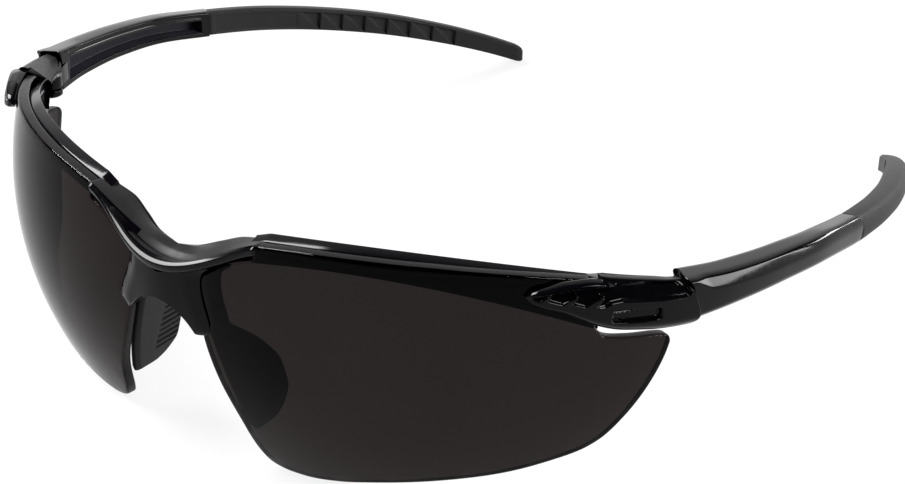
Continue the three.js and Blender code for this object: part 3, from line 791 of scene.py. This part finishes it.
def pin():
    """Hinge screw, its head underneath."""
    x, y = HINGE_PIN
    head = drum(x, y, LUG_LOW - 0.3, LUG_LOW + 0.1, HEAD_RADIUS, 0.12)
    return both(head, drum(x, y, LUG_LOW, LUG_HIGH + 0.05, PIN_RADIUS, 0.1))


# ---- arms ------------------------------------------------------------------------------------------
# Curves over the depth: the centre line of an arm, its height and its width.
arm_x = through(
    (-6, 67.2), (0, 69.1), (12, 72.7), (24, 74.8), (37, 75.8), (49, 75.4), (62, 74), (76, 71.1), (95, 64.9),
    (113, 57.5), (124, 52.1), (134, 46.6))
arm_z = through(
    (-6, 35.8), (0, 35.4), (12, 34.3), (24, 33), (37, 31.1), (49, 28.6), (62, 25.9), (76, 22.5), (95, 17),
    (113, 10.3), (124, 5.4), (134, 0.2))
arm_high = through(
    (-6, 9.2), (0, 8.4), (12, 6.6), (24, 5.9), (37, 5.6), (49, 5.6), (76, 5.3), (95, 5.1), (113, 4.7),
    (134, 4))
arm_wide = through(
    (-6, 4.9), (0, 5), (12, 5.1), (24, 4.8), (37, 4.5), (49, 4.2), (76, 4.5), (95, 4.7), (113, 4.5),
    (134, 3.9))
FRONT_BLEND = 14                      # depth at which the sections have turned square to the arm
FRONT_SECTION = FRONT_BLEND * 0.2     # depth whose section the front end takes
REACH_FROM, REACH_TO = -6, 14         # depths between which the front end meets the endpiece
CHANNEL_FROM, CHANNEL_TO, CHANNEL_DEPTH = 5.5, 50.0, 2.7
# The channel among the faces of the arm, which takes the painted reflection: numbers round a ring, and
# numbers of rings.
CEILING_FACE, FLOOR_FACE, CHANNEL_RINGS = 59, 72, range(27, 179)
JOIN_SLANT = 1.7


def on_arm(y, u, w):
    """Point u outwards and w upwards from the arm's centre line at depth y."""
    slope = arm_x(y + 0.5) - arm_x(y - 0.5)
    size = math.hypot(1, slope)
    return (arm_x(y) + u / size, y - u * slope / size, arm_z(y) + w)


def arm_ring(y):
    """Outline of (u, w) points: a rounded inner shoulder over a channel, and a bevel along the outer top."""
    t, h = arm_wide(y) / 2, arm_high(y) / 2
    begin = ease((y - 3.5) / 3)
    rear = ease((y - 18) / 30)
    bevel = mix(0.5, 1.9, begin) * mix(1, 0.6, rear)
    inset = mix(0.15, 0.75, begin)
    open_up = ease((y - CHANNEL_FROM) / 0.4) * ease((CHANNEL_TO - y) / 0.8)
    deep = min(CHANNEL_DEPTH, 2 * t - 1.5) * open_up
    bead = 0.12 * open_up
    corners = [
        (-t, -h, 0.35), (t - 1.1, -h, 0.5), (t - 0.15, -h + 1.1, 0.6),
        (t, h - 0.3 - bevel, mix(0.35, 0.9, rear)), (t - inset, h - 0.3, mix(0.22, 0.9, rear)),
        (t - inset - 0.8, h, 0.6), (-t, h, 0.95), (-t + bead, h - 1.05, 0.3), (-t - bead, h - 1.4, 0.2),
        (-t, h - 1.75, 0.14), (-t + deep, h - 1.9, 0.3), (-t + deep, -h + 1.2, 0.3), (-t, -h + 1.05, 0.22)]
    return rounded(corners, 5)


def join_at(y, u):
    """The hard arm ends, and the sleeve starts, further forward on the inner side."""
    return JOIN_SLANT * (u / arm_wide(y) - 0.5)


def arm_start(u, w, back=0):
    """Depth at which the line (u, w) of the arm begins, back behind its front face."""
    return meet(lambda at: on_arm(at, u, w), REACH_FROM, REACH_TO, lambda x, z: arm_front(x, z) + back)


def hard_arm():
    """The gloss part of the arm, from the hinge to the sleeve."""
    first = arm_ring(FRONT_SECTION)
    rings = []
    for shrink, back in ((0.2, 0), (0.5, 0), (0.8, 0), (0.93, 0), (0.98, 0.05), (0.997, 0.2)):
        ring = [(u * shrink, w * shrink) for u, w in first]
        rings.append([on_arm(arm_start(u, w, back), u, w) for u, w in ring])
    for share in steps(0, 1, 70)[1:]:
        ring = []
        for u, w in arm_ring(mix(FRONT_SECTION, FRONT_BLEND, share)):
            ring.append(on_arm(mix(arm_start(u, w), FRONT_BLEND, share), u, w))
        rings.append(ring)
    for y in steps(FRONT_BLEND + 0.4, ARM_JOIN, 110):
        share = (y - FRONT_BLEND) / (ARM_JOIN - FRONT_BLEND)
        rings.append([on_arm(y + join_at(y, u) * share ** 3, u, w) for u, w in arm_ring(y)])
    n = len(rings[0])
    return banded(loft(rings), n, lambda ring: CEILING_FACE if ring in CHANNEL_RINGS else n, FLOOR_FACE)


def tang():
    """Tongue of the arm, between the two lugs."""
    x, y = HINGE_PIN
    outline = [
        (x - 1.9, y), (x + 1.9, y), (x + 2.4, 5), (72.2, 7.4), (72.4, 6.6), (71.4, 5.6), (68.3, 5.6),
        (x - 0.8, 3.4)]
    return both(drum(x, y, TANG_LOW, TANG_HIGH, LUG_RADIUS), rib(outline, TANG_LOW + 0.05, TANG_HIGH - 0.05))


# Triangular pockets along the inner face of the soft tip, behind a shallow plain panel.
POCKETS, POCKET_FROM, POCKET_PITCH, POCKET_DEPTH = 7, 75.9, 5.63, 0.7
PANEL = [(53.6, 1.8), (74.6, 1.75), (75.0, 1.3), (75.0, -1.5), (74.6, -2), (53.6, -2.1)]
PANEL_DEPTH = 0.12
TIP_ROUND = 1.6                       # length of the rounded end


def tip_relief(y, w):
    """How deep the inner face of the tip is sunk at (y, w)."""
    depth = 0.0
    for i in range(POCKETS):
        y0 = POCKET_FROM + i * POCKET_PITCH
        if y0 - 1 < y < y0 + 6.2:
            pocket = [(y0, 1.75), (y0 + 5.2, 1.75), (y0 + 4.9, -2.0)]
            ramp = 0.45 + 0.55 * min(1, max(0, (y - y0) / 5))
            depth += POCKET_DEPTH * ramp * ease((inside(pocket, y, w) + 0.12) / 0.35)
    depth += PANEL_DEPTH * ease((inside(PANEL, y, w) + 0.1) / 0.3)
    return depth


def tip_ring(y, grow, squeeze):
    """Outline of (u, w) points of the sleeve, its flat inner face finely divided."""
    t = (arm_wide(y) / 2 + grow) * squeeze
    h = (arm_high(y) / 2 + grow) * squeeze
    ring = [(-t, w) for w in steps(h * 0.78, -h * 0.7, 30)]
    ring += rounded([
        (-t * 0.98, -h * 0.8, 0.3), (-t * 0.5, -h, 0.7), (t * 0.45, -h, 0.8), (t, -h * 0.5, 0.9),
        (t, h * 0.25, 0.9), (t * 0.55, h * 0.85, 0.9), (-t * 0.2, h, 0.9), (-t * 0.85, h * 0.98, 0.35)], 5)
    return ring


def soft_tip():
    """The sleeve, from its joint with the hard arm to its rounded end."""
    start = ARM_JOIN + 0.12
    rings = []
    for y in steps(start, ARM_END - TIP_ROUND, 330):
        edge = ease((y - start) / 0.35)
        pull = max(0, 1 - (y - start) / 12) ** 2
        flat = -arm_wide(y) / 2
        row = []
        for u, w in tip_ring(y, mix(-0.12, 0.06, edge), 1):
            sunk = tip_relief(y, w) if u < flat + 0.2 else 0
            row.append(on_arm(y + join_at(y, u) * pull, u + sunk, w))
        rings.append(row)
    for turn in steps(0.12, 1.5, 9):
        y = ARM_END - TIP_ROUND + TIP_ROUND * math.sin(turn)
        rings.append([on_arm(y, u, w) for u, w in tip_ring(y, 0.02, math.cos(turn) ** 0.45)])
    return loft(rings)


# ---- nose pads -------------------------------------------------------------------------------------
PAD_THICK, PAD_GROOVES, PAD_PITCH, GROOVE_DEPTH = 2.0, 8, 1.27, 0.42
PAD_HEIGHTS = [7.4, 7.43, 7.5, 7.62, 7.8] + steps(8, 25.6, 170) + [25.75, 25.9, 26.0, 26.05]
pad_rear = through(
    (7.4, -33), (8, -29.8), (9.2, -27.4), (11.8, -25.6), (15.2, -25.8), (19.6, -28.4), (25.2, -34.3),
    (26.3, -35.5))


def pad_x(z):
    """Inner face of the pad: the pads spread apart toward the bottom."""
    return 7.3 + (25.2 - z) * 0.31


def pad_groove(y, z):
    """Depth of the level grooves in the rear half of the pad."""
    depth = 0.0
    for i in range(PAD_GROOVES):
        off = abs(z - 11.2 - i * PAD_PITCH)
        if off < 0.5:
            reach = ease((y + 31.8) / 0.6) * ease((pad_rear(z) - 0.35 - y) / 0.5)
            depth += GROOVE_DEPTH * (1 - ease((off - 0.08) / 0.3)) * reach
    return depth


def nose_pad():
    """Upright soft pad, thinned and rounded at its top and bottom."""
    rings = []
    for z in PAD_HEIGHTS:
        front = leg_y(0, z, -LENS_THICK - 0.5)
        rear = max(pad_rear(z), front + 0.8)
        top = ease((26.05 - z) / 0.5) ** 0.5 if z > 25.5 else 1
        low = ease((z - 7.35) / 0.7) ** 0.5 if z < 8.1 else 1
        thin = 0.35 + 0.65 * min(top, low)
        half = PAD_THICK / 2 * thin
        middle = pad_x(z) + PAD_THICK / 2
        soft = min(0.7, (rear - front) / 4)
        ys = steps(front + soft, rear - soft, 36)
        ring = [(middle - half + pad_groove(y, z), y, z) for y in ys]
        for t in steps(0.2, math.pi - 0.2, 6):
            ring.append((middle - half * math.cos(t), rear - soft + soft * math.sin(t), z))
        ring += [(middle + half - pad_groove(y, z), y, z) for y in reversed(ys)]
        for t in steps(0.2, math.pi - 0.2, 6):
            ring.append((middle + half * math.cos(t), front + soft - soft * math.sin(t), z))
        rings.append(ring)
    return loft(rings)


# ---- the object ------------------------------------------------------------------------------------
make("bridge_saddle", bridge(), 1, GLOSS, "frame", ["front_frame"], rim=SATIN_PAINTED_SHEEN)
make("nose_bracket", both(bracket(), flanges()), 1, GLOSS, "frame", ["front_frame"])
for side, word in ((1, "left"), (-1, "right")):
    arm = f"arm_{word}"
    lens(side, word)
    make(f"brow_bar_{word}", brow_bar(), side, GLOSS, "frame", ["front_frame"])
    make(f"endpiece_{word}", endpiece(), side, GLOSS, "frame", ["front_frame"],
         ENDPIECE_SHARP, SATIN_PAINTED_SHEEN)
    make(f"hinge_lugs_{word}", lugs(), side, GLOSS, "frame", ["front_frame"])
    make(f"hinge_pin_{word}", pin(), side, STEEL, "frame", [f"hinge_screw_{word}"])
    make(f"soft_pad_{word}", nose_pad(), side, PAD, "frame", [f"nose_pad_{word}"])
    make(f"temple_{word}", both(hard_arm(), tang()), side, GLOSS, arm, [arm], rim=CHANNEL_PAINTED_REFLECTION)
    make(f"temple_tip_{word}", soft_tip(), side, RUBBER, arm, [f"arm_tip_{word}"])


# ---- studio ----------------------------------------------------------------------------------------
CAMERA = (197.85, -238.01, 190.47)
AZIMUTH, ELEVATION, ROLL = (math.radians(v) for v in (35.606, 28.509, 1.295))
FOCAL_PER_WIDTH = 2000 / 905
SENSOR = 36


def studio_camera():
    flat = math.cos(ELEVATION)
    back = Vector((flat * math.sin(AZIMUTH), -flat * math.cos(AZIMUTH), math.sin(ELEVATION)))
    level = Vector((math.cos(AZIMUTH), math.sin(AZIMUTH), 0))
    upright = back.cross(level)
    right = level * math.cos(ROLL) + upright * math.sin(ROLL)
    data = bpy.data.cameras.new("camera")
    data.sensor_width = SENSOR
    data.lens = SENSOR * FOCAL_PER_WIDTH
    data.clip_start = 0.01
    camera = bpy.data.objects.new("camera", data)
    turn = Matrix((right, back.cross(right), back)).transposed().to_4x4()
    camera.matrix_world = Matrix.Translation(world(*CAMERA)) @ turn
    bpy.context.scene.collection.objects.link(camera)
    bpy.context.scene.camera = camera


def softbox(name, heading, height, distance, wide, tall, power):
    """White area light aimed at the glasses; heading 0 is toward the wearer's left, 90 behind the glasses."""
    data = bpy.data.lights.new(name, "AREA")
    data.shape = "RECTANGLE"
    data.size, data.size_y = wide, tall
    data.energy = power
    light = bpy.data.objects.new(name, data)
    h, e = math.radians(heading), math.radians(height)
    target = Vector((0, -0.01, 0.02))
    away = Vector((math.cos(e) * math.cos(h), math.cos(e) * math.sin(h), math.sin(e)))
    light.location = target + away * distance
    light.rotation_euler = away.to_track_quat("Z", "Y").to_euler()
    bpy.context.scene.collection.objects.link(light)


def floor():
    """Wide floor that is nearly white by its own light, so that it takes only a faint shadow."""
    material, nodes, links = new_material("pale_floor")
    shader = nodes["Principled BSDF"]
    dust = grain(nodes, links, 3)
    pale = tint(nodes, links, dust.outputs["Fac"], (0.055, 0.055, 0.055), (0.06, 0.06, 0.06))
    links.new(pale, shader.inputs["Base Color"])
    shader.inputs["Roughness"].default_value = 0.9
    shader.inputs["Specular IOR Level"].default_value = 0
    shader.inputs["Emission Color"].default_value = (1, 1, 1, 1)
    shader.inputs["Emission Strength"].default_value = 0.87
    bm = bmesh.new()
    bmesh.ops.create_grid(bm, x_segments=8, y_segments=8, size=3)
    mesh = bpy.data.meshes.new("floor")
    bm.to_mesh(mesh)
    bm.free()
    mesh.materials.append(material)
    ground = bpy.data.objects.new("floor", mesh)
    ground.location.z = -0.0002
    bpy.context.scene.collection.objects.link(ground)


studio_camera()
floor()
softbox("key_left", 198, 50, 1.2, 0.75, 0.7, 64)
softbox("side_right", 32, 7, 1.3, 0.9, 0.28, 13)
softbox("top_right", 8, 52, 1.3, 0.5, 0.4, 14)
softbox("rear_right", 72, 13, 1.3, 0.5, 0.1, 4.5)


WALL_STRENGTH, DARK_STRENGTH = 1.35, 0.03


def studio_air():
    """A pale horizon and a soft pale wall behind the glasses, dark everywhere else."""
    air = bpy.data.worlds.new("studio")
    air.use_nodes = True
    nodes, links = air.node_tree.nodes, air.node_tree.links
    way = nodes.new("ShaderNodeTexCoord")

    def facing(direction, low, high):
        dot = nodes.new("ShaderNodeVectorMath")
        dot.operation = "DOT_PRODUCT"
        dot.inputs[1].default_value = direction
        links.new(way.outputs["Generated"], dot.inputs[0])
        ramp = nodes.new("ShaderNodeMapRange")
        ramp.interpolation_type = "SMOOTHSTEP"
        ramp.inputs["From Min"].default_value = low
        ramp.inputs["From Max"].default_value = high
        links.new(dot.outputs["Value"], ramp.inputs["Value"])
        return ramp.outputs["Result"]

    horizon = facing((0, 0, 1), 0.2, 0.1)
    wall = facing((-0.5, 0.7, 0.5), 0.7, 0.97)
    total = nodes.new("ShaderNodeMath")
    total.operation = "MULTIPLY_ADD"
    total.inputs[1].default_value = WALL_STRENGTH
    links.new(wall, total.inputs[0])
    links.new(horizon, total.inputs[2])
    lifted = nodes.new("ShaderNodeMath")
    lifted.operation = "ADD"
    lifted.inputs[1].default_value = DARK_STRENGTH
    links.new(total.outputs["Value"], lifted.inputs[0])
    links.new(lifted.outputs["Value"], nodes["Background"].inputs["Strength"])
    nodes["Background"].inputs["Color"].default_value = (1, 1, 1, 1)
    bpy.context.scene.world = air


studio_air()
bpy.context.scene.view_settings.view_transform = "Standard"
